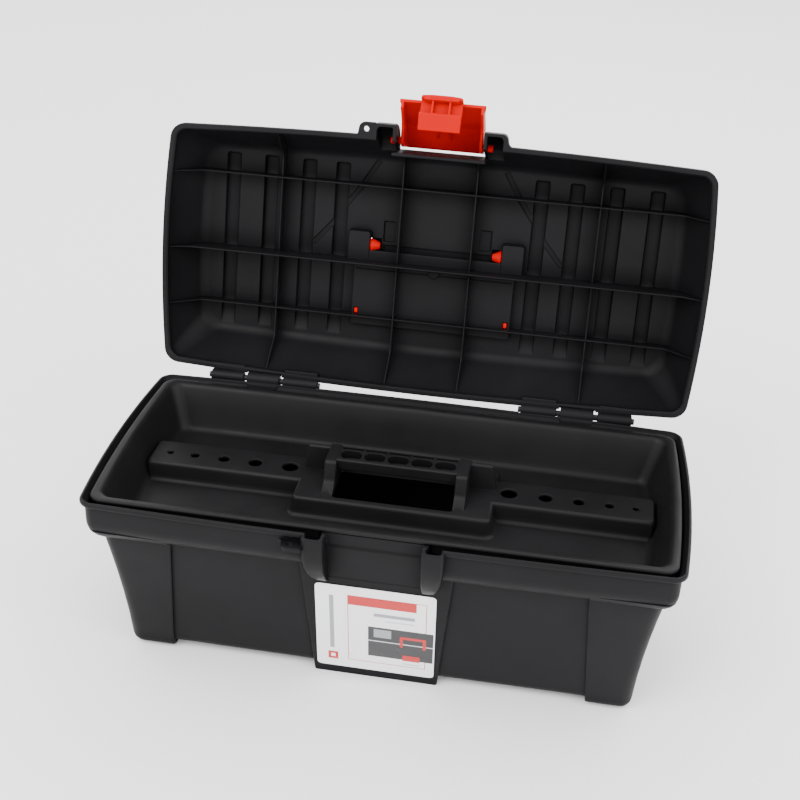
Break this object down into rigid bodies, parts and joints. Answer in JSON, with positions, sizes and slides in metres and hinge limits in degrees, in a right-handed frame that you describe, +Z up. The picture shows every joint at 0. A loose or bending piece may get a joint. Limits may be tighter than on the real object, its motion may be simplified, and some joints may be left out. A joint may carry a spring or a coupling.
{
  "type": "toolbox with tray",
  "caption": "Moulded plastic toolbox with a hinged lid, a lift-out tray with drill-bit holes, a front latch and a folding carry handle set into the lid.",
  "frame": {"origin": "centre of the base pad on the underside", "axes": "+X along the length, -Y towards the front with the latch, +Z up; the lid stands open on its stop"},
  "size_m": [0.405, 0.2833, 0.358],
  "materials": {
    "tub_plastic": "fine-grained moulded polypropylene, semi-matte",
    "lid_plastic": "fine-grained moulded polypropylene, semi-matte",
    "tray_plastic": "smoother moulded polypropylene, semi-matte",
    "latch_plastic": "smooth red polypropylene",
    "handle_plastic": "smooth red polypropylene",
    "label_film": null,
    "pin_plastic": "smooth black plastic rod"
  },
  "bodies": {
    "tub": {"base_tub": "tub_plastic", "front_label": "label_film"},
    "lid": {"lid_shell": "lid_plastic"},
    "tray": {"lift_out_tray": "tray_plastic"},
    "latch": {"front_latch": "latch_plastic"},
    "handle": {"carry_handle": "handle_plastic"},
    "left_pin": {"hinge_pin_left": "pin_plastic"},
    "right_pin": {"hinge_pin_right": "pin_plastic"}
  },
  "joints": [
    {"name": "lid_hinge", "type": "hinge", "parent": "tub", "child": "lid", "pos_m": [0, 0.0989, 0.139], "axis": [-1, 0, 0], "range_deg": [-103, 0]},
    {"name": "tray_lift", "type": "slide", "parent": "tub", "child": "tray", "axis": [0, 0, 1], "range_m": [0, 0.15]},
    {"name": "latch_hinge", "type": "hinge", "parent": "lid", "child": "latch", "pos_m": [0, 0.15957, 0.31732], "axis": [-1, 0, 0], "range_deg": [-30, 5]},
    {"name": "handle_hinge", "type": "hinge", "parent": "lid", "child": "handle", "pos_m": [0, 0.16098, 0.23233], "axis": [1, 0, 0], "range_deg": [0, 90]},
    {"name": "left_pin_spin", "type": "hinge", "parent": "tub", "child": "left_pin", "pos_m": [-0.1186, 0.0989, 0.139], "axis": [1, 0, 0], "continuous": true},
    {"name": "right_pin_spin", "type": "hinge", "parent": "tub", "child": "right_pin", "pos_m": [0.1186, 0.0989, 0.139], "axis": [1, 0, 0], "continuous": true}
  ]
}
